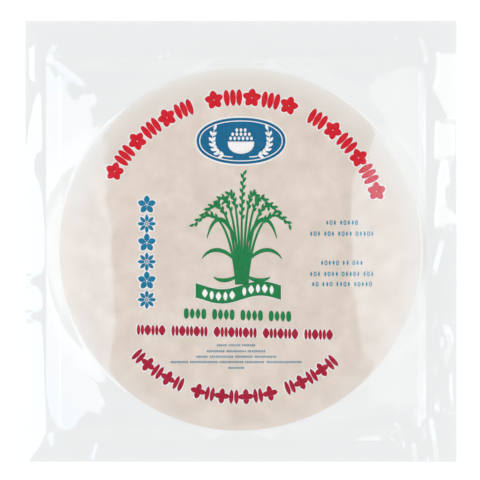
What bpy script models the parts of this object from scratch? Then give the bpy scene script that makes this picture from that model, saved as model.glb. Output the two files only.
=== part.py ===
"""Pack of round rice paper wrappers, sealed in a clear film bag, lying on its back.

The closed pack is one solid: the outer shape of the film, drawn over the round stack of
wrappers inside.  Metres, +Z up.  The origin is under the middle of the bag, on the surface
that the pack lies on.  +X is to the right of the printed side and +Y is towards its top.
"""

import math

import bmesh
import bpy

# Driving dimensions
WRAPPER_DIAMETER = 0.220        # the size that such wrappers are sold in
STACK_HEIGHT = 0.0168           # middle of the stack, with the film over it
BAG_WIDTH = 0.260               # along X, edge to edge
BAG_LENGTH = 0.266              # along Y, edge to edge
STACK_OFFSET = (-0.0006, -0.0048)   # middle of the stack, from the middle of the bag
CREASE_REACH = 0.1155           # from the middle of the stack to each straight crease

# Crown of the stack: it is level in the middle and sinks towards its left and right rims
CROWN_FLAT_LEFT = 0.060         # where the left slope begins
CROWN_FLAT_RIGHT = 0.050        # where the right slope begins
CROWN_FALL_X = 1.30             # fall in metres per square metre, sideways
CROWN_FLAT_Y = 0.070
CROWN_FALL_Y = 1.00             # the same, towards the top and bottom rims
SHOULDER = 0.16                 # how widely the film rounds the rim, as a share of its slope
HIP_ROUNDING = 0.05             # how widely two slopes round into each other at a corner

# Film round the stack
CREASE_HEIGHT = 0.0062          # where the upper and the lower film meet
FILM_THICKNESS = 0.0008         # of the flat margin as a solid
DROOP_LEFT = 0.12               # fall of each margin for each metre outwards
DROOP_RIGHT = 0.05
DROOP_ENDS = 0.04
MARGIN_WAVE = 0.0006            # height of the waves along the margin
MARGIN_WAVE_LENGTH = 0.095
PLEAT_DEPTH = 0.0007            # folds that run into each corner
PLEAT_PITCH = math.radians(11.25)
PLEAT_REACH = math.radians(24.0)    # how far each side of the diagonal they go

# Mesh
POINTS_PER_SIDE = 40
CROWN_RINGS = (0.30, 0.50, 0.66, 0.80, 0.90, 0.96)      # shares of the stack's radius
SLOPE_RINGS = (0.0, 0.18, 0.40, 0.70, 1.0)              # from the rim out to the crease
MARGIN_RINGS = (0.35, 0.70, 1.0)                        # from the crease out to the edge

STACK_RADIUS = WRAPPER_DIAMETER / 2


def smooth_min(a, b, width):
    """The lesser of a and b, rounded over width where they meet."""
    blend = max(width - abs(a - b), 0.0) / width
    return min(a, b) - blend * blend * width / 4


def crown_height(x, y):
    """Height of the film over the stack, at x, y from the middle of the stack."""
    flat = CROWN_FLAT_RIGHT if x > 0 else CROWN_FLAT_LEFT
    past_x = max(abs(x) - flat, 0.0)
    past_y = max(abs(y) - CROWN_FLAT_Y, 0.0)
    return STACK_HEIGHT - CROWN_FALL_X * past_x**2 - CROWN_FALL_Y * past_y**2


def slope_share(along, across):
    """How far up its slope the film is, 0 at the crease and 1 at the rim.

    The film runs straight from the crease to the rim, at right angles to the crease, so the
    share falls evenly along that line.
    """
    half_chord = math.sqrt(max(STACK_RADIUS**2 - across**2, 0.0))
    return (CREASE_REACH - abs(along)) / (CREASE_REACH - half_chord)


def tent_share(x, y):
    """How far the film has risen from the creases, from 0 to 1."""
    corner = smooth_min(slope_share(x, y), slope_share(y, x), HIP_ROUNDING)
    return max(smooth_min(corner, 1.0, SHOULDER), 0.0)


def pleat(x, y, share):
    """Depth of the folds that fan out of each corner of the crease."""
    angle = math.atan2(abs(y), abs(x))
    off_diagonal = abs(angle - math.pi / 4)
    if off_diagonal > PLEAT_REACH:
        return 0.0
    fade = math.cos(off_diagonal / PLEAT_REACH * math.pi / 2) ** 2
    wave = math.cos(off_diagonal / PLEAT_PITCH * 2 * math.pi)
    return PLEAT_DEPTH * fade * wave * 4 * share * (1 - share)


def margin_height(x, y):
    """Height of the middle of the flat margin, which droops outwards in long waves."""
    past_x = max(abs(x) - CREASE_REACH, 0.0)
    past_y = max(abs(y) - CREASE_REACH, 0.0)
    droop = past_x * (DROOP_RIGHT if x > 0 else DROOP_LEFT) + past_y * DROOP_ENDS
    wave_x = math.sin(2 * math.pi * y / MARGIN_WAVE_LENGTH + 1.0)
    wave_y = math.sin(2 * math.pi * x / MARGIN_WAVE_LENGTH - 1.0)
    rise = MARGIN_WAVE * (wave_x * past_x + wave_y * past_y) / (BAG_WIDTH / 2 - CREASE_REACH)
    return CREASE_HEIGHT - droop + rise


def upper_height(x, y):
    share = tent_share(x, y)
    foot = margin_height(x, y) + FILM_THICKNESS / 2
    return foot + (crown_height(x, y) - foot) * share + pleat(x, y, share)


def lower_height(x, y):
    return (margin_height(x, y) - FILM_THICKNESS / 2) * (1 - tent_share(x, y))


def on_circle(side, step, radius):
    """A point of a circle.  Its four quarters face the four sides of the bag."""
    angle = math.pi / 2 * (side + step / POINTS_PER_SIDE - 0.5)
    return radius * math.cos(angle), radius * math.sin(angle)


def on_rectangle(side, step, left, bottom, right, top):
    """The point of a rectangle round the stack that lies beyond on_circle's point."""
    share = 0.5 + 0.5 * math.tan(math.pi / 2 * (step / POINTS_PER_SIDE - 0.5))
    corners = ((right, bottom), (right, top), (left, top), (left, bottom))
    (x0, y0), (x1, y1) = corners[side], corners[(side + 1) % 4]
    return x0 + (x1 - x0) * share, y0 + (y1 - y0) * share


def between(inner, outer, share):
    return [
        (ix + (ox - ix) * share, iy + (oy - iy) * share)
        for (ix, iy), (ox, oy) in zip(inner, outer)
    ]


def plan_loops():
    """Closed loops of points from the middle of the stack out to the edge of the bag."""
    places = [(side, step) for side in range(4) for step in range(POINTS_PER_SIDE)]
    shift_x, shift_y = STACK_OFFSET
    crease = [
        on_rectangle(*place, -CREASE_REACH, -CREASE_REACH, CREASE_REACH, CREASE_REACH)
        for place in places
    ]
    edge = [
        on_rectangle(
            *place,
            -BAG_WIDTH / 2 - shift_x,
            -BAG_LENGTH / 2 - shift_y,
            BAG_WIDTH / 2 - shift_x,
            BAG_LENGTH / 2 - shift_y,
        )
        for place in places
    ]
    rim = [on_circle(*place, STACK_RADIUS) for place in places]
    loops = [
        [on_circle(*place, STACK_RADIUS * share) for place in places] for share in CROWN_RINGS
    ]
    loops += [between(rim, crease, share) for share in SLOPE_RINGS]
    loops += [between(crease, edge, share) for share in MARGIN_RINGS]
    return loops


def skin(mesh, loops, height):
    """Rings of vertices at the given height, from the middle loop to the edge."""
    shift_x, shift_y = STACK_OFFSET
    return [
        [mesh.verts.new((x + shift_x, y + shift_y, height(x, y))) for x, y in loop]
        for loop in loops
    ]


def join_rings(mesh, inner, outer, face_up):
    """A band of four-sided faces between two rings with as many vertices each."""
    for i in range(len(inner)):
        j = (i + 1) % len(inner)
        corners = (inner[i], outer[i], outer[j], inner[j])
        mesh.faces.new(corners if face_up else corners[::-1])


def build_pack():
    mesh = bmesh.new()
    loops = plan_loops()
    upper = skin(mesh, loops, upper_height)
    lower = skin(mesh, loops[len(CROWN_RINGS):], lower_height)
    for inner, outer in zip(upper, upper[1:]):
        join_rings(mesh, inner, outer, face_up=True)
    for inner, outer in zip(lower, lower[1:]):
        join_rings(mesh, inner, outer, face_up=False)
    join_rings(mesh, upper[-1], lower[-1], face_up=True)    # the cut edge of the film
    mesh.faces.new(upper[0])                                # level middle of the crown
    for vertex in lower[0]:
        vertex.co.z = 0.0
    mesh.faces.new(lower[0][::-1])                          # flat underside
    data = bpy.data.meshes.new("rice_paper_pack")
    mesh.to_mesh(data)
    mesh.free()
    data.shade_smooth()
    data.set_sharp_from_angle(angle=math.radians(40))
    pack = bpy.data.objects.new("rice_paper_pack", data)
    bpy.context.scene.collection.objects.link(pack)
    return pack


def film_material():
    """Clear polypropylene film with the cream wrappers showing through."""
    material = bpy.data.materials.new("clear_film_over_wrappers")
    material.use_nodes = True
    surface = material.node_tree.nodes["Principled BSDF"]
    surface.inputs["Base Color"].default_value = (0.73, 0.63, 0.56, 1.0)
    surface.inputs["Roughness"].default_value = 0.15
    surface.inputs["Metallic"].default_value = 0.0
    return material


def main():
    for old in list(bpy.data.objects):
        bpy.data.objects.remove(old)
    pack = build_pack()
    pack.data.materials.append(film_material())


main()
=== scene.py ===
# A round stack of rice paper wrappers, sealed in a square clear film bag with a printed front.
# Sizes of the bag, the wrappers, the print and the patterns are in millimetres, and those of the
# studio in metres.
import math

import bpy
import numpy as np
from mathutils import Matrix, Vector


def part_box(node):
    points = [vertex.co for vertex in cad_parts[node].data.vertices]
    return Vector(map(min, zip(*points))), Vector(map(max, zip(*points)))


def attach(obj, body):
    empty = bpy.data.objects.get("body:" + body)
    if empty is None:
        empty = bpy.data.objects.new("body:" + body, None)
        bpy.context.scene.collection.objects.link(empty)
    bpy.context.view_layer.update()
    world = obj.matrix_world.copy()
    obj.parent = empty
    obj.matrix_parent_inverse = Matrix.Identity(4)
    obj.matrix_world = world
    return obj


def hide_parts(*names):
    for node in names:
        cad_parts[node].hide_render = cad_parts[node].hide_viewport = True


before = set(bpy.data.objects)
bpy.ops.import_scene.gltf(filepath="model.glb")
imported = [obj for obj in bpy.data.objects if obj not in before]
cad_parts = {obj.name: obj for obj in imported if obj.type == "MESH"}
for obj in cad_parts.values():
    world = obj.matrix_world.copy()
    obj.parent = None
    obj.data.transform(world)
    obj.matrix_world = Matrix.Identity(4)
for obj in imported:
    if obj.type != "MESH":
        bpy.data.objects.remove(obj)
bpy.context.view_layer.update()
packLow, packHigh = (np.array(corner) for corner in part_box("rice_paper_pack"))
mm = 0.001
tau = 2 * math.pi
sharpFrom = math.radians(50)    # edges that bend by more than this stay sharp

bag = {
    "stackRadius": 109.8,
    "stackOffset": (-0.6, -4.8),    # middle of the stack, from the middle of the bag
    "creaseLeft": 117.0,            # from the middle of the stack to each straight crease
    "creaseRight": 112.2,
    "creaseEnds": 115.5,
    "creaseHeight": 7.4,
    "crownHeight": 16.75,
    "slopeStart": (55.2, 44.5),     # left and right: the crown is level as far as this
    "slopeStartAt": (-14.0, 4.0),   # how far up the bag it is nearest the middle
    # How fast it curves outwards from there: left up, left down, right up and right down
    "slopeStartBend": (0.0010, 0.0008, 0.0042, 0.0026),
    "crownFall": 0.0013,            # mm of fall for each square mm past the start
    "endSlopeStart": 70.0,
    "endFall": 0.0010,
    "shoulder": 0.07,               # how widely the rim is rounded, as a share of the rise to it
    "hipRounding": 0.02,            # the same where two slopes meet at a corner
    "hipSkew": (1.2, 0.8, 0.8, 1.03),   # top left, top right, bottom left, bottom right
    "skewBlend": 40.0,              # from the middle to where a corner's skew is full
    "filmWall": 0.08,
    "weldGap": 0.12,                # between the middle of the margin and each film
    "turnUp": (8.0, 3.4),           # width of the rise of the back film at the left and right
    "turnUpEnds": 8.0,
    "turnRounding": 0.08,
    "droopEnds": 0.02,
    "flapTilt": (0.08, 0.20),       # how fast the left and right flaps fall where they tilt
    "filmWave": (0.022, 15.0),      # height and length of the faint waves over the stack
    "filmWaveStart": 0.8,           # share of the rise from which they grow
    "slopeWave": (0.03, 12.0),      # height and length of those on the slopes round it
}

# Where each flap tilts down: height up the bag, then where the tilt begins and ends, as
# distances outwards from the crease.  In between it lies level.
leftTilt = (
    (119, 5.5, 5.5), (116, 7, 10), (98, 7, 10), (95, 5.5, 5.5), (90, 4, 4), (87, 3, 6),
    (80, 3, 8), (67, 2.5, 10.5), (55, 2.4, 12), (53, 6, 13), (48, 7.3, 13), (41, 7.3, 13),
    (35, 4.2, 13), (27, 2.4, 13), (6, 0.8, 13), (-15, 0.8, 13), (-19, 3, 13), (-22, 9.7, 13),
    (-26, 9.7, 13), (-28.5, 4.2, 13), (-33, 2.4, 13), (-41, 1.8, 13), (-43.5, 9.7, 13),
    (-47, 9.1, 13), (-49.5, 3, 13), (-60, 1.8, 13), (-115, 0, 12), (-124, 4.2, 12),
    (-132, 10.3, 12),
)
rightTilt = (
    (113.9, 6.6, 6.6), (113.3, 6.6, 19.6), (103, 6.8, 19.6), (97, 6, 19.6), (93, 4.8, 19.6),
    (90, 5.4, 19.6), (86, 8.6, 19.6), (82, 9.7, 19.6), (76.5, 13.3, 19.6), (72.6, 13.3, 19.6),
    (71.8, 6, 16.9), (50.5, 5.4, 16.9), (49.7, 9.7, 12.1), (48.5, 9.7, 12.1), (45.8, 9.1, 13.1),
    (39.7, 7.8, 13.3), (35, 7.2, 14.6), (33, 7.2, 10.6), (22, 6.9, 11.1), (18, 5.7, 16.6),
    (9.6, 5.7, 19.6), (9, 5.7, 5.7),
)

# Creases pressed into the front film: mean slope of their flanks and half width, then the
# points of their lines
creases = (
    (0.085, 4.0, (-110.1, 117.9), (-113.8, 110.6)),
    (0.13, 4.0, (-111.4, 110.0), (-95.1, 97.3)),
    (0.085, 4.0, (-112.5, -118.5), (-111.9, -122.7)),
    (0.085, 3.2, (-85.7, -123.3), (-87.5, -130.6)),
    (0.24, 2.2, (-47.3, 111.2), (-44.8, 112.4)),
    (0.15, 1.6, (3.6, 108.2), (12.7, 109.1)),
    (0.085, 2.4, (89.7, 121.5), (92.7, 123.3)),
    (0.085, 3.2, (106.9, 121.5), (108.7, 115.4), (110.2, 110)),
    (0.085, 4.0, (118.9, -1.5), (116.8, -9.4), (114.7, -17.9)),
    (0.085, 2.4, (115.2, -52.4), (115.2, -49.4), (117.6, -47.6)),
    (0.24, 2.6, (118.8, -48.4), (123.6, -47.5), (129.7, -48.1)),
    (0.085, 5.6, (121.4, -53), (123.3, -59.1)),
    (0.085, 4.0, (124.1, -60.3), (122.8, -66.4), (121, -72.4)),
    (0.085, 3.2, (117.8, -67.6), (117.8, -71.2), (114.8, -79.7)),
    (0.085, 2.4, (125.5, -80.9), (125.2, -88.2), (126.1, -97.3)),
    (0.085, 4.0, (122.2, -89.4), (118, -91.8), (115.9, -97.3), (116.2, -102.1)),
    (0.24, 2.2, (123.6, -101.8), (130.3, -102.4)),
    (0.085, 4.0, (112.5, -108.8), (114.4, -118.5), (116.2, -131.8)),
    (0.085, 2.4, (109.4, -112.4), (109.4, -123.3)),
    (0.085, 2.4, (111.5, -119.7), (112.1, -127), (114.2, -133)),
    (0.085, 4.0, (102.2, -123.9), (103.1, -133)),
    (0.2, 1.8, (84.8, -111.8), (93.9, -111.5)),
    (0.085, 3.2, (92.3, -111.2), (94.8, -114.2), (96, -122.1), (99, -130)),
    (0.17, 2.2, (87.9, -118.5), (92.7, -121.5)),
)

stackX, stackY = (bag["stackOffset"][i] * mm for i in (0, 1))
stackRadius = bag["stackRadius"] * mm


def smoothStep(value, low, high):
    # 0 below low and 1 above high.  Between them: 3 times the share squared, less twice its cube.
    share = np.clip((value - low) / (high - low), 0, 1)
    return share * share * (3 - 2 * share)


def smoothMin(a, b, width):
    # the lesser of a and b, and less by up to a quarter of width where they meet
    blend = np.maximum(width - np.abs(a - b), 0) / width
    return np.minimum(a, b) - blend * blend * width / 4


def waves(x, y, length, seed, stretch=1.0, count=6):
    # sum of sine waves in random directions, between about -1 and 1.  Each has its own phase and
    # a length of its own, 0.75 to 1.4 times the length given.
    draws = np.random.default_rng(seed)
    least, most = (0, 0, 0.75), (math.pi, tau, 1.4)
    total = 0
    for angle, turn, size in zip(*draws.uniform(least, most, (count, 3)).T):
        along = x * math.cos(angle) + y / stretch * math.sin(angle)
        total = total + np.sin(tau * along / (length * size) + turn)
    return total / math.sqrt(count)


def crownHeight(x, y):
    # level in the middle, then a parabola down towards the left, right and end rims
    leftUp, leftDown, rightUp, rightDown = bag["slopeStartBend"]
    side = np.where(x > 0, 1, 0)
    rise = y / mm - np.choose(side, bag["slopeStartAt"])
    upwards, downwards = np.choose(side, (leftUp, rightUp)), np.choose(side, (leftDown, rightDown))
    bend = np.where(rise > 0, upwards, downwards)
    start = np.choose(side, bag["slopeStart"]) + bend * rise**2
    pastX = np.maximum(np.abs(x) / mm - start, 0)
    pastY = np.maximum(np.abs(y) / mm - bag["endSlopeStart"], 0)
    return (bag["crownHeight"] - bag["crownFall"] * pastX**2 - bag["endFall"] * pastY**2) * mm


def sideReach(x):
    # from the middle of the stack to the crease on this side
    return np.where(x > 0, bag["creaseRight"], bag["creaseLeft"]) * mm


def slopeShare(along, across, reach):
    # 0 at the crease and 1 at the rim, even along a line at right angles to the crease
    halfChord = np.sqrt(np.maximum(stackRadius**2 - across**2, 0))
    return np.maximum(reach - np.abs(along), 0) / (reach - halfChord)


def tentShare(x, y):
    # the lower of the side slope and the end slope.  A skew bends the hip between them.
    topLeft, topRight, lowLeft, lowRight = bag["hipSkew"]
    blend = bag["skewBlend"] * mm
    right, up = smoothStep(x, -blend, blend), smoothStep(y, -blend, blend)
    top = topLeft * (1 - right) + topRight * right
    low = lowLeft * (1 - right) + lowRight * right
    skew = top * up + low * (1 - up)
    side = slopeShare(x, y, sideReach(x)) ** np.maximum(1 / skew, 1)
    end = slopeShare(y, x, bag["creaseEnds"] * mm) ** np.maximum(skew, 1)
    corner = smoothMin(side, end, bag["hipRounding"])
    return np.clip(smoothMin(corner, 1.0, bag["shoulder"]), 0, 1)


def flapFall(past, y, table, tilt):
    # how far a flap has fallen, past mm outwards from its crease: its tilt times the distance
    # covered between the start and the end of its slanting part
    heights, starts, ends = np.array(table[::-1], float).T
    start = np.interp((y + stackY) / mm, heights, starts)
    end = np.interp((y + stackY) / mm, heights, ends)
    return tilt * np.clip(past - start, 0, end - start)


def marginHeight(x, y):
    # middle of the flat margin: the crease's height, less the fall of the flaps and of the ends
    left = flapFall(np.maximum(-x / mm - bag["creaseLeft"], 0), y, leftTilt, bag["flapTilt"][0])
    right = flapFall(np.maximum(x / mm - bag["creaseRight"], 0), y, rightTilt, bag["flapTilt"][1])
    ends = bag["droopEnds"] * np.maximum(np.abs(y) / mm - bag["creaseEnds"], 0)
    return (bag["creaseHeight"] - left - right - ends) * mm


def crease(x, y, slope, halfWidth, points):
    # a ridge along a bent line: its height falls by a smooth step to 0 at half width each side
    nearest = np.full(x.shape, np.inf)
    for (ax, ay), (bx, by) in zip(points, points[1:]):
        alongX, alongY = bx - ax, by - ay
        share = np.clip(((x - ax) * alongX + (y - ay) * alongY) / (alongX**2 + alongY**2), 0, 1)
        nearest = np.minimum(nearest, np.hypot(x - ax - alongX * share, y - ay - alongY * share))
    return slope * halfWidth * (1 - smoothStep(nearest, 0, halfWidth))


def calmHeight(x, y):
    # outer face of the printed film without its small folds, from the middle of the stack: the
    # margin's height, and the tent's share of the rise from there to the crown
    share = tentShare(x, y)
    foot = marginHeight(x, y) + bag["weldGap"] * mm
    return foot + (crownHeight(x, y) - foot) * share


def frontHeight(x, y):
    # the same with faint waves over the stack, stronger ones on the slopes, and the creases
    share = tentShare(x, y)
    u, v = (x + stackX) / mm, (y + stackY) / mm
    size, length = bag["filmWave"]
    over = smoothStep(share, bag["filmWaveStart"], 1.0)
    wave = size * waves(u, v, length, seed=11, stretch=2.0) * over
    size, length = bag["slopeWave"]
    wave = wave + size * waves(u, v, length, seed=5) * 4 * share * (1 - share)
    folds = sum(crease(u, v, slope, halfWidth, points) for slope, halfWidth, *points in creases)
    return calmHeight(x, y) + (wave + folds) * mm


def backHeight(x, y):
    # outer face of the plain film.  It lies flat and turns up close to the crease, or from the
    # stack's rim on where that is nearer.
    left, right = bag["turnUp"]
    turn = np.where(x > 0, right, left) * mm
    side = np.maximum((sideReach(x) - np.abs(x)) / turn, slopeShare(x, y, sideReach(x)))
    reach, turn = bag["creaseEnds"] * mm, bag["turnUpEnds"] * mm
    end = np.maximum((reach - np.abs(y)) / turn, slopeShare(y, x, reach))
    inwards = smoothMin(np.minimum(side, end), 1.0, bag["turnRounding"])
    return (marginHeight(x, y) - bag["weldGap"] * mm) * (1 - np.clip(inwards, 0, 1))


def squareRings(count, cornerPull=-0.3):
    # ring number and direction of each point of a square grid, whose squares become circles.
    # The pull draws points towards the corners, or away from them where it is negative.
    step = np.arange(-count, count + 1)
    i, j = np.meshgrid(step, step, indexing="ij")
    ring = np.maximum(np.abs(i), np.abs(j))
    sideways = np.abs(i) >= np.abs(j)
    major = np.where(sideways, i, j)
    minor = np.where(sideways, j, i)
    turn = minor / np.where(major == 0, 1, major)
    tilt = np.arctan(turn + cornerPull * np.sin(math.pi * turn) / math.pi)
    angle = np.where(sideways, np.where(i < 0, math.pi, 0) + tilt, np.sign(j) * math.pi / 2 - tilt)
    return ring, angle


def slab(x, y, top, bottom, closed=False):
    # a wall between two height fields over one grid of points, with its edges shut.
    # A closed slab's first direction runs round and meets itself.
    rows, columns = x.shape
    upper = np.stack([x, y, top], -1).reshape(-1, 3)
    lower = np.stack([x, y, bottom], -1).reshape(-1, 3)
    index = np.arange(rows * columns).reshape(rows, columns)
    if closed:
        index = np.vstack([index, index[:1]])
    a, b, c, d = index[:-1, :-1], index[1:, :-1], index[1:, 1:], index[:-1, 1:]
    faces = np.stack([a, b, c, d], -1).reshape(-1, 4)
    edges = [index[:, 0], index[::-1, -1]]
    if not closed:
        edges += [index[0, ::-1], index[-1, :]]
    walls = [np.stack([e[1:], e[:-1], e[:-1] + len(upper), e[1:] + len(upper)], -1) for e in edges]
    under = faces[:, ::-1] + len(upper)
    everything = np.vstack([faces, under] + walls)
    corner, along, _, across = upper[faces[0]]
    if np.cross(along - corner, across - corner)[2] < 0:
        everything = everything[:, ::-1]
    return np.vstack([upper, lower]), everything


def makePiece(name, slabs, material, smooth=True, fold=None):
    # one mesh object from several closed shells.  A fold marks the points of sharp edges.
    points = np.vstack([s[0] for s in slabs])
    shift = np.cumsum([0] + [len(s[0]) for s in slabs[:-1]])
    faces = np.vstack([s[1] + move for s, move in zip(slabs, shift)])
    mesh = bpy.data.meshes.new(name)
    mesh.vertices.add(len(points))
    mesh.vertices.foreach_set("co", points.astype(np.float32).ravel())
    mesh.loops.add(faces.size)
    mesh.loops.foreach_set("vertex_index", faces.astype(np.int32).ravel())
    mesh.polygons.add(len(faces))
    mesh.polygons.foreach_set("loop_start", np.arange(0, faces.size, 4, dtype=np.int32))
    mesh.update(calc_edges=True)
    mesh.validate()
    if smooth:
        mesh.shade_smooth()
        mesh.set_sharp_from_angle(angle=sharpFrom)
    if fold is not None:
        ends = np.empty(len(mesh.edges) * 2, np.int32)
        mesh.edges.foreach_get("vertices", ends)
        sharp = np.empty(len(mesh.edges), bool)
        mesh.edges.foreach_get("use_edge_sharp", sharp)
        mesh.edges.foreach_set("use_edge_sharp", sharp | fold[ends].reshape(-1, 2).all(axis=1))
    piece = bpy.data.objects.new(name, mesh)
    bpy.context.scene.collection.objects.link(piece)
    mesh.materials.append(material)
    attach(piece, "root")
    print(f"{name}: {len(faces) * 2} triangles")
    return piece


def linearColour(hexColour):
    # sRGB hex to the linear values that shaders take
    values = [int(hexColour[i : i + 2], 16) / 255 for i in (1, 3, 5)]
    return [v / 12.92 if v <= 0.04045 else ((v + 0.055) / 1.055) ** 2.4 for v in values] + [1.0]


def addNode(tree, kind, settings=None, **links):
    # a node with its settings, by attribute or socket name or number, and its incoming links.
    # By number: 1 to 4 of a Map Range are from low, from high, to low and to high, and 6 and 7
    # of a Mix are its two colours.
    node = tree.nodes.new(kind)
    for key, value in (settings or {}).items():
        if isinstance(key, str) and hasattr(node, key):
            setattr(node, key, value)
        else:
            node.inputs[key].default_value = value
    for key, source in links.items():
        name = int(key[1:]) if key[0] == "i" and key[1:].isdigit() else key.replace("_", " ")
        tree.links.new(source, node.inputs[name])
    return node


def newMaterial(name):
    # an empty material, its nodes and its output
    material = bpy.data.materials.new(name)
    material.use_nodes = True
    tree = material.node_tree
    tree.nodes.clear()
    return material, tree, addNode(tree, "ShaderNodeOutputMaterial")


def clearPolypropylene():
    # Cast polypropylene film, clear and glossy.  Each face mirrors 3.5 % head on and more at a
    # slant (Schlick's rule), and lets the rest through with a trace of grey.
    look = {"headOn": 0.035, "roughness": 0.06, "tint": (0.977, 0.979, 0.980, 1.0)}
    material, tree, output = newMaterial("clear cast polypropylene")
    slant = addNode(tree, "ShaderNodeLayerWeight", {"Blend": 0.5})
    power = addNode(
        tree, "ShaderNodeMath", {"operation": "POWER", 1: 5.0}, i0=slant.outputs["Facing"]
    )
    share = addNode(
        tree,
        "ShaderNodeMath",
        {"operation": "MULTIPLY_ADD", 1: 1 - look["headOn"], 2: look["headOn"]},
        i0=power.outputs[0],
    )
    through = addNode(tree, "ShaderNodeBsdfTransparent", {"Color": look["tint"]})
    gloss = addNode(tree, "ShaderNodeBsdfGlossy", {"Roughness": look["roughness"]})
    mix = addNode(
        tree,
        "ShaderNodeMixShader",
        i0=share.outputs[0],
        i1=through.outputs[0],
        i2=gloss.outputs[0],
    )
    tree.links.new(mix.outputs[0], output.inputs["Surface"])
    return material


def driedRicePaper():
    # Dried rice starch sheet: cream and matt, with cloudy patches about 11 mm across and the
    # fine grain of the cloth that it dried on.  Towards its top and side rims it is painted paler,
    # as a painted glow of light through the paper, and it is palest at the thin top edge.
    look = {
        "creams": ("#DCCBBC", "#EADBCE"),
        "cloud": 11.0,              # size of the patches of these two
        "cloudSpan": (0.3, 0.7),    # shares of the noise where each is full
        # painted glow: the rims are paler, as if lit through the paper
        "rim": "#E7E0D7",
        "fadeCentre": (0.0, -7.0),  # from the middle of the stack
        "fade": (90.0, 117.0),      # where the rim's painted glow begins and is full
        # painted glow, palest, of light through the thin top edge
        "thinEdgeGlowColour": "#F0ECE6",
        "thin": (110.0, 118.0),
        "grain": 1.6,
        "grainDepth": 0.05,
        "grainStrength": 0.2,
        "roughness": 0.62,
    }
    material, tree, output = newMaterial("dried rice paper")
    place = addNode(tree, "ShaderNodeTexCoord")
    shiftX, shiftY = (look["fadeCentre"][i] * mm for i in (0, 1))
    centred = addNode(
        tree,
        "ShaderNodeMapping",
        {"vector_type": "POINT", "Location": (-stackX - shiftX, -stackY - shiftY, 0)},
        Vector=place.outputs["Object"],
    )
    flat = addNode(
        tree,
        "ShaderNodeVectorMath",
        {"operation": "MULTIPLY", 1: (1, 1, 0)},
        i0=centred.outputs[0],
    )
    radius = addNode(tree, "ShaderNodeVectorMath", {"operation": "LENGTH"}, i0=flat.outputs[0])
    cloud = addNode(
        tree,
        "ShaderNodeTexNoise",
        {"Scale": 1 / (look["cloud"] * mm), "Detail": 3.0, "Roughness": 0.55},
        Vector=centred.outputs[0],
    )
    low, high = look["fade"]
    fade = addNode(
        tree,
        "ShaderNodeMapRange",
        {"interpolation_type": "SMOOTHSTEP", 1: low * mm, 2: high * mm},
        i0=radius.outputs["Value"],
    )
    low, high = look["cloudSpan"]
    patch = addNode(tree, "ShaderNodeMapRange", {1: low, 2: high}, i0=cloud.outputs["Fac"])
    dull, pale = map(linearColour, look["creams"])
    cream = addNode(
        tree,
        "ShaderNodeMix",
        {"data_type": "RGBA", 6: dull, 7: pale},
        i0=patch.outputs[0],
    )
    # painted glow towards the rims, strongest at the top
    rimGlowMix = addNode(
        tree,
        "ShaderNodeMix",
        {"data_type": "RGBA", 7: linearColour(look["rim"])},
        i0=fade.outputs[0],
        i6=cream.outputs[2],
    )
    # painted glow, palest, at the thin top edge
    low, high = look["thin"]
    thin = addNode(
        tree, "ShaderNodeMapRange", {1: low * mm, 2: high * mm}, i0=radius.outputs["Value"]
    )
    colour = addNode(
        tree,
        "ShaderNodeMix",
        {"data_type": "RGBA", 7: linearColour(look["thinEdgeGlowColour"])},
        i0=thin.outputs[0],
        i6=rimGlowMix.outputs[2],
    )
    cloth = addNode(
        tree,
        "ShaderNodeTexNoise",
        {"Scale": 1 / (look["grain"] * mm), "Detail": 4.0, "Roughness": 0.6},
        Vector=centred.outputs[0],
    )
    grain = addNode(
        tree,
        "ShaderNodeBump",
        {"Strength": look["grainStrength"], "Distance": look["grainDepth"] * mm},
        Height=cloth.outputs["Fac"],
    )
    surface = addNode(
        tree,
        "ShaderNodeBsdfPrincipled",
        {"Roughness": look["roughness"], "IOR": 1.5},
        Base_Color=colour.outputs[2],
        Normal=grain.outputs[0],
    )
    tree.links.new(surface.outputs[0], output.inputs["Surface"])
    return material


def flexoInk(name, hexColour, paler):
    # Flexographic ink on the inside of the film: even, a little thin in small patches, and with
    # no shine of its own, because it is wetted to the film
    look = {"patch": 2.2, "thin": (0.5, 0.8), "roughness": 0.6}
    material, tree, output = newMaterial(name)
    place = addNode(tree, "ShaderNodeTexCoord")
    patch = addNode(
        tree,
        "ShaderNodeTexNoise",
        {"Scale": 1 / (look["patch"] * mm), "Detail": 3.0},
        Vector=place.outputs["Object"],
    )
    low, high = look["thin"]
    thin = addNode(tree, "ShaderNodeMapRange", {1: low, 2: high}, i0=patch.outputs["Fac"])
    colour = addNode(
        tree,
        "ShaderNodeMix",
        {"data_type": "RGBA", 6: linearColour(hexColour), 7: linearColour(paler)},
        i0=thin.outputs[0],
    )
    surface = addNode(
        tree,
        "ShaderNodeBsdfPrincipled",
        {"Roughness": look["roughness"], "IOR": 1.45, "Specular IOR Level": 0.0},
        Base_Color=colour.outputs[2],
    )
    tree.links.new(surface.outputs[0], output.inputs["Surface"])
    return material


# Each ink's material, its colour, its colour where it is thin, and its slot
inkLooks = {
    "red": ("red ink", "#D60C24", "#DC2C3A", "red_ink"),
    "crimson": ("crimson ink", "#AC1034", "#B62A48", "crimson_ink"),
    "blue": ("blue ink", "#0C6890", "#14749E", "blue_ink"),
    "sky": ("sky blue ink", "#0A7A9E", "#168CAE", "blue_ink"),
    "teal": ("thin blue ink", "#2A88A8", "#4A9AB4", "blue_ink"),
    "aqua": ("pale blue ink", "#1690B0", "#38A0BA", "blue_ink"),
    "green": ("green ink", "#188448", "#30925C", "green_ink"),
    "white": ("white ink", "#FAF6F2", "#F6F0EC", "white_ink"),
}

film = clearPolypropylene()
paper = driedRicePaper()
print("materials made")

filmMesh = {
    # Rings of points over the stack, on the slope and in the margin
    "frontRings": (50, 30, 30),
    "backRings": (30, 40, 12),
    "cornerPull": 0.35,
    "crowding": 0.6,        # how much the rings over the stack draw together at its rim
}


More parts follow.
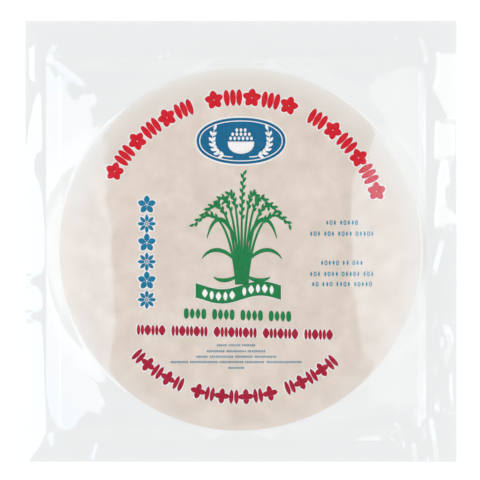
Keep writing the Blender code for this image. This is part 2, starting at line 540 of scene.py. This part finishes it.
def filmGrid(crownRings, slopeRings, marginRings):
    # plan of the bag as a square grid: circles out to the rim, then a blend into the straight
    # creases, then straight to the cut edges.  Rings draw together towards the rim.  The third
    # answer tells which points lie on the crease.
    count = crownRings + slopeRings + marginRings
    ring, angle = squareRings(count, filmMesh["cornerPull"])
    share = np.clip(ring / crownRings, 0, 1)
    radius = stackRadius * (share + filmMesh["crowding"] * share * (1 - share))
    circleX, circleY = np.cos(angle), np.sin(angle)
    reach = np.maximum(np.abs(circleX), np.abs(circleY))
    squareX, squareY = circleX / reach, circleY / reach
    left, right = packLow[0] - stackX, packHigh[0] - stackX
    foot, head = packLow[1] - stackY, packHigh[1] - stackY
    edgeX = left + (right - left) * (squareX + 1) / 2
    edgeY = foot + (head - foot) * (squareY + 1) / 2
    creaseWidth = (bag["creaseLeft"] + bag["creaseRight"]) * mm
    creaseX = creaseWidth * (squareX + 1) / 2 - bag["creaseLeft"] * mm
    creaseY = bag["creaseEnds"] * mm * squareY
    slope = np.clip((ring - crownRings) / slopeRings, 0, 1)
    margin = np.clip((ring - crownRings - slopeRings) / marginRings, 0, 1)
    x = radius * circleX * (1 - slope) + creaseX * slope + (edgeX - creaseX) * margin
    y = radius * circleY * (1 - slope) + creaseY * slope + (edgeY - creaseY) * margin
    return x, y, ring == crownRings + slopeRings


def makeFilm(name, height, outwards, rings):
    # one film: outer face at the given height, and its wall inwards from there.  Outwards is
    # 1 for the front, which faces up, and -1 for the back.
    x, y, onCrease = filmGrid(*rings)
    outer = height(x, y)
    inner = outer - outwards * bag["filmWall"] * mm
    top, bottom = (outer, inner) if outwards > 0 else (inner, outer)
    fold = np.tile(onCrease.ravel(), 2)
    piece = makePiece(name, [slab(x + stackX, y + stackY, top, bottom)], film, fold=fold)
    return piece


frontFilm = makeFilm("front_film", frontHeight, 1, filmMesh["frontRings"])
makeFilm("back_film", backHeight, -1, filmMesh["backRings"])
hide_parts("rice_paper_pack")
print("film made")

wrappers = {
    "count": 38,
    "radius": 109.3,
    "uneven": (-0.5, 0.1),  # what is added to a sheet's radius, at least and at most
    "swell": (0.02, 0.09),  # height of each slow swelling of its outline, the same way
    "slip": 0.25,           # how far a sheet may lie off the middle
    "topReach": 0.9,        # how far the top wrapper reaches past the others
    "thickness": 0.24,
    "topGap": 0.24,         # from the film's outer face down to the top wrapper
    "baseGap": 0.22,        # from the bag's underside up to the lowest wrapper
    "rimWave": 0.35,        # rise and fall of the rims half way down the stack
    "rimTwist": 0.14,       # turn of that wave from one sheet to the next, in radians
    "matPitch": 6.0,        # ribs of the woven mat that the sheets dried on
    "matDepth": 0.03,
    "matTurns": (1.0, 2.1),
    "points": 180,          # round each lower sheet
    "shares": (0.01, 0.6, 0.86, 0.95, 1.0),     # their rings, as shares of the radius
    "topRings": 84,
}


def topWrapperHeight(x, y):
    # the calm film's outer face, less the gap
    return calmHeight(x, y) - wrappers["topGap"] * mm


def sheetOutline(draws, angle):
    # a hand-made round: a circle with a few slow swellings, each a sine wave of the angle
    size = wrappers["radius"] + draws.uniform(*wrappers["uneven"])
    swell = 0
    for number in (2, 3, 5, 8):
        height = draws.uniform(*wrappers["swell"])
        swell = swell + height * np.sin(number * angle + draws.uniform(0, tau))
    return (size + swell) * mm


def makeStack():
    # all but the top wrapper: each follows the crown above it in proportion to its height
    draws = np.random.default_rng(7)
    angle = np.linspace(0, tau, wrappers["points"], endpoint=False)[:, None]
    share = np.array([wrappers["shares"]])
    slabs = []
    last = wrappers["count"] - 1
    for number in range(last):
        outline = sheetOutline(draws, angle) - wrappers["topReach"] * mm
        shiftX, shiftY = draws.uniform(-wrappers["slip"], wrappers["slip"], 2) * mm
        x = outline * share * np.cos(angle) + shiftX
        y = outline * share * np.sin(angle) + shiftY
        level = number / last
        low = (wrappers["baseGap"] + wrappers["thickness"]) * mm
        twist = wrappers["rimTwist"] * number
        wave = sum(np.sin(k * angle + twist + k) for k in (2, 3, 7)) / 3
        ripple = wrappers["rimWave"] * mm * wave * math.sin(math.pi * level) * share**6
        top = low + (topWrapperHeight(x, y) - low) * level + ripple
        bottom = top - wrappers["thickness"] * mm
        slabs.append(slab(x + stackX, y + stackY, top, bottom, closed=True))
    piece = makePiece("wrapper_stack", slabs, paper)


def makeTopWrapper():
    # the top sheet, with the crossed ribs of the mat pressed into it as two cosine waves
    draws = np.random.default_rng(3)
    count = wrappers["topRings"]
    ring, angle = squareRings(count)
    outline = sheetOutline(draws, angle)
    x = outline * ring / count * np.cos(angle)
    y = outline * ring / count * np.sin(angle)
    pitch = wrappers["matPitch"] * mm
    ribs = sum(
        np.cos(tau * (x * math.cos(turn) + y * math.sin(turn)) / pitch)
        for turn in wrappers["matTurns"]
    )
    top = topWrapperHeight(x, y) + wrappers["matDepth"] * mm * ribs / 2
    bottom = top - wrappers["thickness"] * mm
    piece = makePiece("top_wrapper", [slab(x + stackX, y + stackY, top, bottom)], paper)


makeStack()
makeTopWrapper()
print("wrappers made")

# Depth under the film's inner face: white details, colours, white edges.  Neighbours in a
# layer lie a step apart, so that two which cross never share a face.
layers = {
    "detail": 0.004,
    "colour": 0.042,
    "backing": 0.08,
    "thickness": 0.012,
    "step": 0.002,
    "steps": 12,
}
inks = {}


def addInk(ink, layer, shape):
    # one printed shape, given as a grid of points in millimetres, pressed to the film
    u, v, closed = shape
    x, y = u * mm, v * mm
    printed = inks.setdefault(ink, [])
    depth = layers[layer] + layers["step"] * (len(printed) % layers["steps"])
    top = frontHeight(x - stackX, y - stackY) - (bag["filmWall"] + depth) * mm
    printed.append(slab(x, y, top, top - layers["thickness"] * mm, closed))


def superellipse(cosine, sine, halfWidth, halfHeight, power):
    # distance from its middle to its edge in a direction, where the powers of x over the half
    # width and of y over the half height add up to 1.  A power of 1 gives a lozenge, 1.5 a
    # grain, 2 an ellipse and 5 a rounded block.
    wide, high = np.abs(cosine / halfWidth), np.abs(sine / halfHeight)
    return (wide**power + high**power) ** (-1 / power)


def rounded(halfWidth, halfHeight, power, rings=3):
    # filled superellipse, as rings that are even shares of its edge
    ring, angle = squareRings(rings)
    cosine, sine = np.cos(angle), np.sin(angle)
    reach = superellipse(cosine, sine, halfWidth, halfHeight, power) * ring / rings
    return reach * cosine, reach * sine, False


def hollow(halfWidth, halfHeight, power, stroke, points=32):
    # the outline of a superellipse, drawn inwards from its edge
    angle = np.linspace(0, tau, points, endpoint=False)[:, None]
    cosine, sine = np.cos(angle), np.sin(angle)
    inset = np.array([stroke, stroke / 2, 0.0])
    reach = superellipse(cosine, sine, halfWidth - inset, halfHeight - inset, power)
    return reach * cosine, reach * sine, True


def placed(shape, x, y, turn=0.0):
    # turned anticlockwise, then moved
    u, v, closed = shape
    cosine, sine = math.cos(turn), math.sin(turn)
    return x + u * cosine - v * sine, y + u * sine + v * cosine, closed


def arched(shape, arch, angle):
    # bent round an arch.  Its up side faces outwards, or inwards where the arch hangs.
    u, v, closed = shape
    centreX, centreY = arch["centre"]
    up = -1 if arch["hangs"] else 1
    around = angle - up * u / arch["radius"]
    out = arch["radius"] + up * v
    return centreX + out * np.cos(around), centreY + out * np.sin(around), closed


def stroke(path, width):
    # a line of varying width: points half of it to each side of a path, at right angles to it
    along = np.gradient(path, axis=0)
    along /= np.linalg.norm(along, axis=1)[:, None]
    sideways = np.stack([-along[:, 1], along[:, 0]], -1)
    across = np.array([-0.5, 0.0, 0.5])[None, :, None]
    points = path[:, None] + sideways[:, None] * across * np.asarray(width, float)[:, None, None]
    return points[..., 0], points[..., 1], False


def pathTurns(path):
    # how far the path's direction is turned from straight up, at each of its points
    along = np.gradient(path, axis=0)
    return np.arctan2(along[:, 1], along[:, 0]) - math.pi / 2


def bezier(corners, count):
    # points of a cubic Bezier curve, evenly spaced in its parameter
    t = np.linspace(0, 1, count)[:, None]
    a, b, c, d = np.asarray(corners, float)
    return a * (1 - t) ** 3 + 3 * b * t * (1 - t) ** 2 + 3 * c * t * t * (1 - t) + d * t**3


def grouped(groups, pitch, gap):
    # places along a line, centred on 0, in groups with wider gaps between them
    places, here = [], 0.0
    for size in groups:
        places += [here + pitch * i for i in range(size)]
        here += pitch * size + gap
    places = np.array(places)
    return places - (places[0] + places[-1]) / 2


def blossom(count, reach, halfWidth, halfLength):
    # petals round a centre, each as half width, half length, power, x, y and turn
    power = 1.7
    turns = [tau * number / count for number in range(count)]
    return [
        (halfWidth, halfLength, power, reach * math.sin(t), reach * math.cos(t), -t) for t in turns
    ]


def grains(count, pitch, halfWidth, halfHeight, power=1.6):
    # upright grains side by side
    places = [(number - (count - 1) / 2) * pitch for number in range(count)]
    return [(halfWidth, halfHeight, power, place, 0, 0) for place in places]


def addMotif(ink, petals, halo, move):
    # coloured superellipses, moved to their place, over a little squarer ones that are grown by a
    # white edge
    for halfWidth, halfHeight, power, x, y, turn in petals:
        addInk(ink, "colour", move(placed(rounded(halfWidth, halfHeight, power), x, y, turn)))
        if halo:
            grown = rounded(halfWidth + halo, halfHeight + halo, power + 0.2, 2)
            addInk("white", "backing", move(placed(grown, x, y, turn)))


topArch = {
    "ink": "red",
    "centre": (0.0, -0.7),
    "radius": 87.1,
    "middle": 85.7,         # direction of its middle, in degrees
    "hangs": False,
    "groups": (6, 5, 6),
    "pitch": 11.4,
    "gap": 7.6,
    "halo": 0.9,
    "motifs": (blossom(5, 2.95, 2.15, 2.7), grains(3, 3.75, 1.8, 5.1, 2.0)),
}
lowArch = {
    "ink": "crimson",
    "centre": (-1.6, -8.2),
    "radius": 85.3,
    "middle": -91.8,
    "hangs": True,
    "groups": (5, 7, 5),
    "pitch": 7.3,
    "gap": 5.2,
    "halo": 0.8,
    "motifs": (grains(2, 3.1, 1.35, 4.5, 1.9), blossom(4, 2.3, 1.7, 2.35)),
}


def makeArch(arch):
    # two motifs by turns along an arch
    for number, place in enumerate(grouped(arch["groups"], arch["pitch"], arch["gap"])):
        way = 1 if arch["hangs"] else -1
        angle = math.radians(arch["middle"]) + way * place / arch["radius"]
        motif = arch["motifs"][number % 2]
        addMotif(arch["ink"], motif, arch["halo"], lambda shape: arched(shape, arch, angle))


badge = {
    "centre": (0.0, 60.3),
    "half": (26.7, 13.9),
    "power": 2.15,
    "halo": 1.1,
    "rings": 16,                    # of points
    "line": (1.6, 0.6),             # white line round it: how far in, and how wide
    "linePoints": 96,
    "bowl": (8.0, 7.4),             # half width and depth
    "bowlTop": -0.4,
    "bowlRound": 0.8,               # power of the sine that its outline follows
    "bowlPoints": (13, 5),          # across and down
    "rows": (6, 5, 3),              # grains of rice over the bowl, from the lowest row
    "firstRow": 1.5,
    "rowPitch": 2.5,
    "grain": (0.85, 1.15, 1.7),
    "spray": ((5, -9.6), (15, -10), (20, -3), (15.5, 8.2)),     # corners of its stem's curve
    "stem": (0.7, 0.4),             # width of the stem at its foot and at its tip
    "stemPoints": 25,
    "leaf": (0.85, 1.75, 1.6),
    "tip": (0.85, 1.9, 1.6),
    "leafLean": 0.6,                # turn of each leaf away from the stem
    "leafOut": 1.7,                 # from the stem to the leaf's middle
    "leafSpots": range(5, 23, 3),   # the stem's points that have a pair
}


def makeBadge():
    # a blue oval with a white bowl of rice between two sprays of leaves
    x, y = badge["centre"]
    a, b = badge["half"]
    power, halo = badge["power"], badge["halo"]
    inset, width = badge["line"]
    rings, points = badge["rings"], badge["linePoints"]
    addInk("white", "backing", placed(rounded(a + halo, b + halo, power, rings), x, y))
    addInk("blue", "colour", placed(rounded(a, b, power, rings), x, y))
    addInk("white", "detail", placed(hollow(a - inset, b - inset, power, width, points), x, y))

    # The bowl: lines from its level lip down to an outline that is a sine of a low power
    half, depth = badge["bowl"]
    top = y + badge["bowlTop"]
    acrossPoints, downPoints = badge["bowlPoints"]
    around = np.linspace(0, 1, acrossPoints)
    lip = np.stack([x - half + 2 * half * around, np.full(acrossPoints, top)], -1)
    sag = np.sin(math.pi * around) ** badge["bowlRound"]
    bowl = np.stack([x - half * np.cos(math.pi * around), top - depth * sag], -1)
    down = np.linspace(0, 1, downPoints)[None, :, None]
    body = lip[:, None] * (1 - down) + bowl[:, None] * down
    addInk("white", "detail", (body[..., 0], body[..., 1], False))
    for row, size in enumerate(badge["rows"]):
        rowY = y + badge["firstRow"] + badge["rowPitch"] * row
        for place in grouped((size,), badge["rowPitch"], 0):
            addInk("white", "detail", placed(rounded(*badge["grain"], 2), x + place, rowY))

    for side in (-1, 1):
        points = badge["stemPoints"]
        path = bezier([(x + side * u, y + v) for u, v in badge["spray"]], points)
        addInk("white", "detail", stroke(path, np.linspace(*badge["stem"], points)))
        turns = pathTurns(path)
        for spot in badge["leafSpots"]:
            for lay in (turns[spot] + badge["leafLean"], turns[spot] - badge["leafLean"]):
                middle = path[spot] + badge["leafOut"] * np.array([-math.sin(lay), math.cos(lay)])
                addInk("white", "detail", placed(rounded(*badge["leaf"], 2), *middle, lay))
        addInk("white", "detail", placed(rounded(*badge["tip"], 2), *path[-1], turns[-1]))


column = {
    "x": -56.6,
    "top": 21.9,
    "pitch": 11.4,
    "count": 6,
    "halo": 0.9,
    "motifs": (blossom(5, 3.2, 1.75, 2.3), blossom(8, 3.4, 1.1, 2.15)),
    "ring": (1.05, 1.05, 2, 0.5),
}


def makeColumn():
    # blue blossoms of five and of eight petals, one above the other, each round a ring
    for number in range(column["count"]):
        y = column["top"] - number * column["pitch"]
        motif = column["motifs"][number % 2]
        addMotif("sky", motif, column["halo"], lambda shape: placed(shape, column["x"], y))
        addInk("sky", "colour", placed(hollow(*column["ring"], 16), column["x"], y))


sheaf = {
    "x": 0.5,
    "foot": -26.0,
    "head": 39.0,
    "drop": 15.0,               # how much lower the outermost stalks bow than the middle one
    "spread": 25.0,
    "stalks": 9,
    # Curve of the outermost stalks: how far out its first three corners lie, how high the
    # second is over the foot and the third over the top, and how far out and down the tip hangs
    "fan": (3.2, 5.0, 14.0),
    "rise": 26.0,
    "arch": 4.0,
    "hang": (3.5, 14.0),
    "stalkSpans": (0, 0.6, 1),          # shares of the length that have these widths
    "stalkWidths": (1.7, 1.2, 0.5),
    "stalkPoints": 25,
    "middleStalk": ((0.5, -26), (0.5, 0), (0.0, 20), (1.5, 40)),
    "grains": 13,
    "grain": (0.8, 1.9, 1.6),
    "grainsFrom": 0.56,         # share of the stalk below its grains
    "grainLean": 0.5,
    "grainOut": 1.5,
    "leaves": ((-14, 24, 10), (-6, 21, 22), (-20, 17, -4)),     # foot, reach and rise of each
    "leafFoot": 2.0,            # from the middle
    "leafCurve": ((0.4, 1.1), (0.8, 1.1), (1.0, 0.35)),     # shares of the reach and the rise
    "leafWidths": (0.15, 2.3),  # at the ends, and what the middle adds
    "leafSpan": (0.06, 0.98),   # part of a sine's arch that its width follows
    "leafRound": 0.8,           # power of that sine
    "leafPoints": 15,
}


def makeStalk(lean):
    # a stalk that bows over under its grains, which stand to its two sides by turns
    side = 1 if lean >= 0 else -1
    x, foot = sheaf["x"], sheaf["foot"]
    top = sheaf["head"] - sheaf["drop"] * lean * lean
    low, high, over = sheaf["fan"]
    out, down = sheaf["hang"]
    corners = [
        (x + low * lean, foot),
        (x + high * lean, foot + sheaf["rise"]),
        (x + over * lean, top + sheaf["arch"]),
        (x + sheaf["spread"] * lean + out * side, top - down),
    ]
    points = sheaf["stalkPoints"]
    path = bezier(corners if lean else sheaf["middleStalk"], points)
    width = np.interp(np.linspace(0, 1, points), sheaf["stalkSpans"], sheaf["stalkWidths"])
    addInk("green", "colour", stroke(path, width))
    turns = pathTurns(path)
    start, last = sheaf["grainsFrom"], sheaf["grains"] - 1
    for grain in range(sheaf["grains"]):
        here = (start + (1 - start) * grain / last) * (points - 1)
        index = min(int(here), points - 2)
        place = path[index] + (path[index + 1] - path[index]) * (here - index)
        lay = turns[index] + sheaf["grainLean"] * (1 if grain % 2 else -1)
        middle = place + sheaf["grainOut"] * np.array([-math.sin(lay), math.cos(lay)])
        addInk("green", "colour", placed(rounded(*sheaf["grain"], 2), *middle, lay))


def makeSheaf():
    # a sheaf of ripe rice: stalks that fan out, over leaves that arch to the left and right
    middle = (sheaf["stalks"] - 1) / 2
    for number in range(sheaf["stalks"]):
        makeStalk((number - middle) / middle)
    points = sheaf["leafPoints"]
    share = np.linspace(*sheaf["leafSpan"], points)
    ends, swell = sheaf["leafWidths"]
    width = ends + swell * np.sin(math.pi * share) ** sheaf["leafRound"]
    for side in (-1, 1):
        for start, reach, rise in sheaf["leaves"]:
            corners = [(sheaf["x"] + side * sheaf["leafFoot"], start)]
            for along, up in sheaf["leafCurve"]:
                corners.append((sheaf["x"] + side * reach * along, start + rise * up))
            addInk("green", "colour", stroke(bezier(corners, points), width))


ribbon = {
    "left": -27.3,
    "right": 24.0,
    "y": -30.75,
    "wave": 2.4,
    "waves": 1.1,           # along its whole length
    "phase": 0.16,          # share of a wave before its left end
    "width": 8.6,
    "points": (34, 5),      # along and across
    "halo": 0.5,
    "grains": (5, 5),
    "pitch": 4.1,
    "gap": 3.2,
    "shapes": ((1.75, 2.7, 1.3), (1.2, 2.7, 1.8)),      # by turns
}


def ribbonMiddle(x):
    # a cosine wave along the ribbon
    share = (x - ribbon["left"]) / (ribbon["right"] - ribbon["left"])
    return ribbon["y"] + ribbon["wave"] * np.cos(tau * (share * ribbon["waves"] + ribbon["phase"]))


def ribbonBand(grown):
    # the ribbon with upright ends, grown by so much all round
    alongPoints, acrossPoints = ribbon["points"]
    x = np.linspace(ribbon["left"] - grown, ribbon["right"] + grown, alongPoints)[:, None]
    across = np.linspace(-0.5, 0.5, acrossPoints)[None, :]
    y = ribbonMiddle(x) + across * (ribbon["width"] + 2 * grown)
    return np.broadcast_to(x, y.shape), y, False


def makeRibbon():
    # a waving ribbon with a row of small white grains along it
    addInk("green", "colour", ribbonBand(0))
    addInk("white", "backing", ribbonBand(ribbon["halo"]))
    for number, place in enumerate(grouped(ribbon["grains"], ribbon["pitch"], ribbon["gap"])):
        spot = (ribbon["left"] + ribbon["right"]) / 2 + place
        shape = rounded(*ribbon["shapes"][number % 2], 2)
        addInk("white", "detail", placed(shape, spot, float(ribbonMiddle(spot))))


boldRows = {
    "green": {
        "middle": -2.1,
        "y": -44.3,
        "tilt": -0.03,              # rise for each mm to the right
        "groups": (4, 4, 4, 4),
        "pitch": 3.5,
        "gap": 3.0,
        "half": (1.45, 3.3),
        "powers": (2.6, 1.5, 1.5, 2.6),     # of the grains in each group
    },
    "crimson": {
        "middle": -3.6,
        "y": -54.7,
        "tilt": -0.027,
        "groups": (4, 5, 6, 5, 4),
        "pitch": 4.35,
        "gap": 3.4,
        "halo": 0.7,
        "motifs": (grains(2, 2.3, 1.0, 3.3, 1.9), grains(1, 0, 2.05, 3.3, 1.4)),
    },
}
# Rows of small marks: how many are in each group, and how far up the bag the row lies
smallRows = {
    "teal": {
        "middle": -2.9,
        "pitch": 1.2,
        "gap": 0.9,
        "filled": (0.336, 0.80, 1.8),
        "open": (0.567, 0.80, 2, 0.315),
        "rows": (
            ((5, 6, 7), -62.5),
            ((9, 10, 9), -66.1),
            ((6, 12, 9, 11), -69.4),
            ((9, 14, 12, 10, 18), -72.6),
            ((8,), -76.1),
        ),
    },
    "aqua": {
        "middle": 60.6,
        "pitch": 2.3,
        "gap": 1.5,
        "filled": (0.528, 1.6, 1.8),
        "open": (0.891, 1.6, 2, 0.495),
        "rows": (
            ((3, 5), 11.2),
            ((3, 3, 4, 5), 4.5),
            ((5, 2, 3), -13.0),
            ((3, 4, 5, 3), -19.7),
            ((2, 3, 4, 5), -25.8),
        ),
    },
}


def rowSpots(row):
    # places along a row that tilts a little
    places = grouped(row["groups"], row["pitch"], row["gap"])
    return [(row["middle"] + place, row["y"] + row["tilt"] * place) for place in places]


def makeBoldRows():
    # two rows of bold grains under the picture
    row = boldRows["green"]
    for number, spot in enumerate(rowSpots(row)):
        shape = rounded(*row["half"], row["powers"][number % 4], 2)
        addInk("green", "colour", placed(shape, *spot))
    row = boldRows["crimson"]
    for number, spot in enumerate(rowSpots(row)):
        motif = row["motifs"][number % 2]
        addMotif("crimson", motif, row["halo"], lambda shape: placed(shape, *spot))


def makeSmallRows(ink):
    # rows of small marks, of which every third is an open one
    look = smallRows[ink]
    for groups, y in look["rows"]:
        for number, place in enumerate(grouped(groups, look["pitch"], look["gap"])):
            shape = hollow(*look["open"], 10) if number % 3 == 1 else rounded(*look["filled"], 1)
            addInk(ink, "colour", placed(shape, look["middle"] + place, y))


makeArch(topArch)
makeArch(lowArch)
makeBadge()
makeColumn()
makeSheaf()
makeRibbon()
makeBoldRows()
makeSmallRows("teal")
makeSmallRows("aqua")
for ink, (*look, slot) in inkLooks.items():
    makePiece(f"{ink}_print", inks[ink], flexoInk(*look), smooth=False)
print("print made")

floorLook = {"half": 6.0, "drop": 0.0003, "grey": 0.12, "roughness": 0.9, "glow": 0.93}


def makeFloor():
    # a white light table: lit from below and from above, so that shadows on it stay faint
    material, tree, output = newMaterial("opal light table")
    surface = addNode(
        tree,
        "ShaderNodeBsdfPrincipled",
        {
            "Base Color": (*[floorLook["grey"]] * 3, 1),
            "Roughness": floorLook["roughness"],
            "Specular IOR Level": 0.0,
            "Emission Color": (1, 1, 1, 1),
            "Emission Strength": floorLook["glow"],
        },
    )
    tree.links.new(surface.outputs[0], output.inputs["Surface"])
    half, z = floorLook["half"], -floorLook["drop"]
    mesh = bpy.data.meshes.new("floor")
    corners = [(-half, -half, z), (half, -half, z), (half, half, z), (-half, half, z)]
    mesh.from_pydata(corners, [], [(0, 1, 2, 3)])
    mesh.materials.append(material)
    floor = bpy.data.objects.new("floor", mesh)
    bpy.context.scene.collection.objects.link(floor)


def makePanel(name, height, low, high, radiance, colour):
    # a soft panel that faces down, between two corners in plan
    lamp = bpy.data.lights.new(name, "AREA")
    lamp.shape = "RECTANGLE"
    lamp.size, lamp.size_y = (high[i] - low[i] for i in (0, 1))
    lamp.color = linearColour(colour)[:3]
    lamp.energy = radiance * math.pi * lamp.size * lamp.size_y
    panel = bpy.data.objects.new(name, lamp)
    panel.location = ((low[0] + high[0]) / 2, (low[1] + high[1]) / 2, height)
    bpy.context.scene.collection.objects.link(panel)


studio = {
    "panelHeight": 3.0,
    "panels": {     # corners in plan, radiance and colour
        "left": ((-0.9, -0.7), (-0.48, 0.7), 2.6, "#C2E6FF"),
        "mid_left": ((-2.2, -1.4), (-0.9, 1.4), 2.25, "#F0F5FF"),
        "far_left": ((-3.8, -1.9), (-2.2, 1.9), 2.2, "#F4F6FF"),
        "right": ((0.48, -0.4), (3.6, 1.6), 0.80, "#FFFCF6"),
        "low_right": ((1.12, -1.8), (3.6, -0.4), 0.66, "#FFFCF6"),
        "bright_right": ((0.48, -0.24), (1.42, 0.19), 1.88, "#B4E2FF"),
        "front": ((0.16, -1.6), (0.25, -0.95), 1.8, "#F4F8FF"),     # only steep creases mirror it
    },
    "drop": 0.01,       # each panel hangs this much below the last, so overlapping ones add up
    "overhead": 0.30,   # the room: dark overhead, lighter towards the horizon
    "horizon": 0.50,
    "fall": (0.6, 0.82),    # sines of the heights between which it darkens
    # What its walls add to that: how far out each begins and is full, and how much it adds
    "walls": {
        "left": (-0.50, -0.62, 0.70),
        "low_left": (-0.84, -0.92, 1.3),
        "right": (0.14, 0.26, 0.48),
        "low_right": (0.62, 0.74, 0.65),
    },
}


def makeWorld():
    # a white room whose left wall is bright, and whose right wall is less bright than that
    world = bpy.data.worlds.new("studio")
    bpy.context.scene.world = world
    world.use_nodes = True
    tree = world.node_tree
    tree.nodes.clear()
    place = addNode(tree, "ShaderNodeTexCoord")
    axes = addNode(tree, "ShaderNodeSeparateXYZ", Vector=place.outputs["Generated"])
    low, high = studio["fall"]
    room = addNode(
        tree,
        "ShaderNodeMapRange",
        {1: low, 2: high, 3: studio["horizon"], 4: studio["overhead"]},
        i0=axes.outputs["Z"],
    )
    total = room
    for begin, full, extra in studio["walls"].values():
        wall = addNode(
            tree, "ShaderNodeMapRange", {1: begin, 2: full, 4: extra}, i0=axes.outputs["X"]
        )
        total = addNode(tree, "ShaderNodeMath", i0=total.outputs[0], i1=wall.outputs[0])
    sky = addNode(tree, "ShaderNodeBackground", {"Color": (1, 1, 1, 1)}, Strength=total.outputs[0])
    output = addNode(tree, "ShaderNodeOutputWorld")
    tree.links.new(sky.outputs[0], output.inputs["Surface"])


view = {
    "distance": 2.6,            # from the top of the pack
    "subjectHeight": 0.015,
    "frameWidth": 0.2886,       # what the frame shows at that height
    "aim": (-0.0006, 0.00075),
    "sensor": 36.0,             # in millimetres
    "farthest": 50.0,
}


def makeCamera():
    # straight down on the pack
    lens = bpy.data.cameras.new("camera")
    lens.sensor_width = view["sensor"]
    lens.lens = view["sensor"] * view["distance"] / view["frameWidth"]
    lens.clip_end = view["farthest"]
    camera = bpy.data.objects.new("camera", lens)
    camera.location = (*view["aim"], view["distance"] + view["subjectHeight"])
    bpy.context.scene.collection.objects.link(camera)
    bpy.context.scene.camera = camera


makeFloor()
for number, (name, panel) in enumerate(studio["panels"].items()):
    makePanel(f"{name}_softbox", studio["panelHeight"] - studio["drop"] * number, *panel)
makeWorld()
makeCamera()
bpy.context.scene.view_settings.view_transform = "Standard"
print("studio made")
